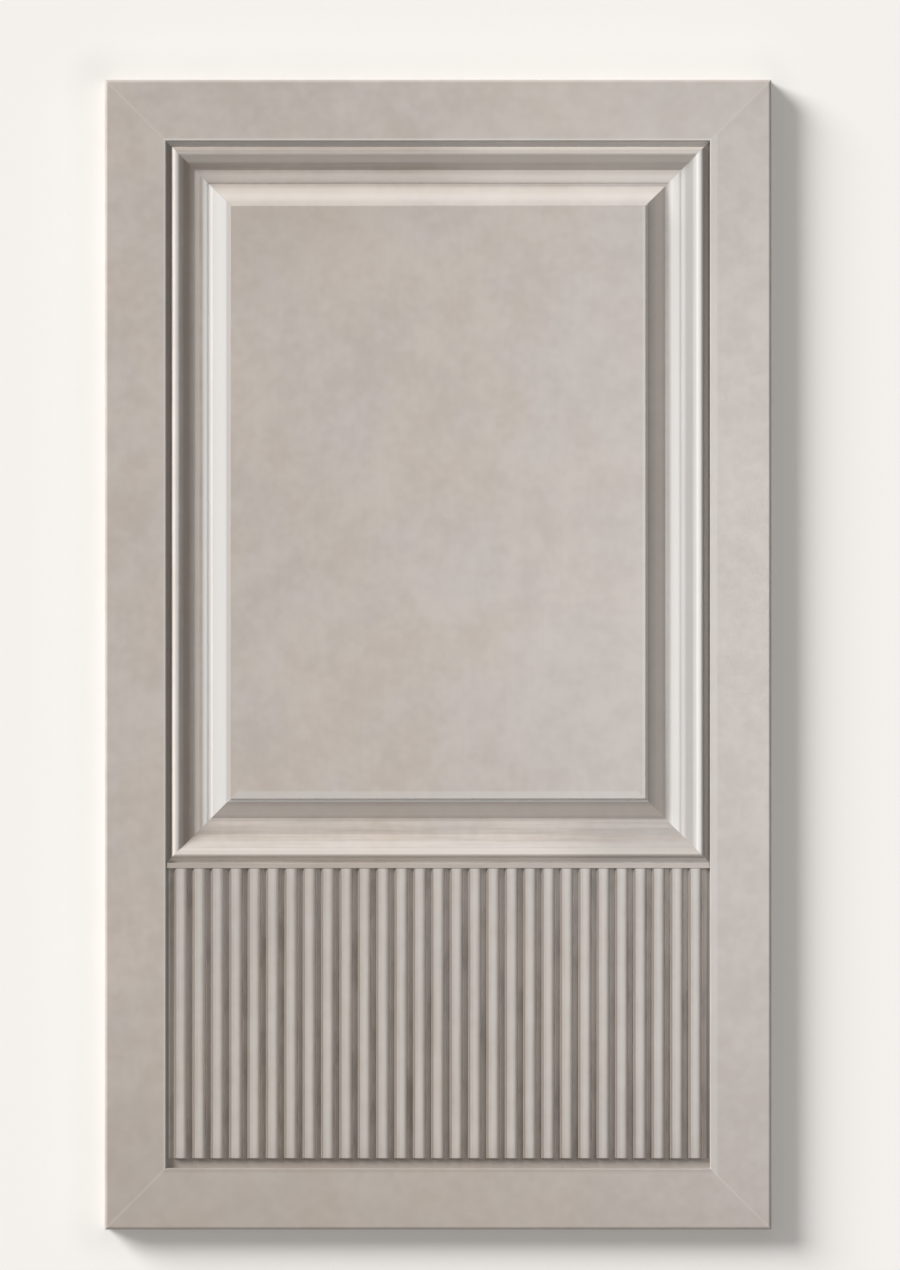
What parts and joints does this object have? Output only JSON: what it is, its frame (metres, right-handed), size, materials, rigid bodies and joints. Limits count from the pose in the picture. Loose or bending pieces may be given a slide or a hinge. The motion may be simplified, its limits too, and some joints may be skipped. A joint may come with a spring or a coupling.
{
  "type": "wainscot panel",
  "caption": "Mitred wainscot panel with a raised, bead-moulded upper field over a row of flat-topped reeds, for lining the lower part of a wall.",
  "frame": {"origin": "middle of the frame's flat back, which lies on the floor", "axes": "+X across the panel, +Y up the wall when it is fixed, +Z out of its face"},
  "size_m": [0.53, 0.914, 0.022],
  "materials": {
    "frame_paint": "satin",
    "panel_paint": "satin",
    "moulding_paint": "satin",
    "reed_paint": "satin"
  },
  "bodies": {
    "root": {"left_stile": "frame_paint", "right_stile": "frame_paint", "top_rail": "frame_paint", "bottom_rail": "frame_paint", "raised_panel": "panel_paint", "moulding_top": "moulding_paint", "moulding_bottom": "moulding_paint", "moulding_left": "moulding_paint", "moulding_right": "moulding_paint", "dividing_strip": "moulding_paint", "reeded_panel": "reed_paint"}
  },
  "joints": []
}
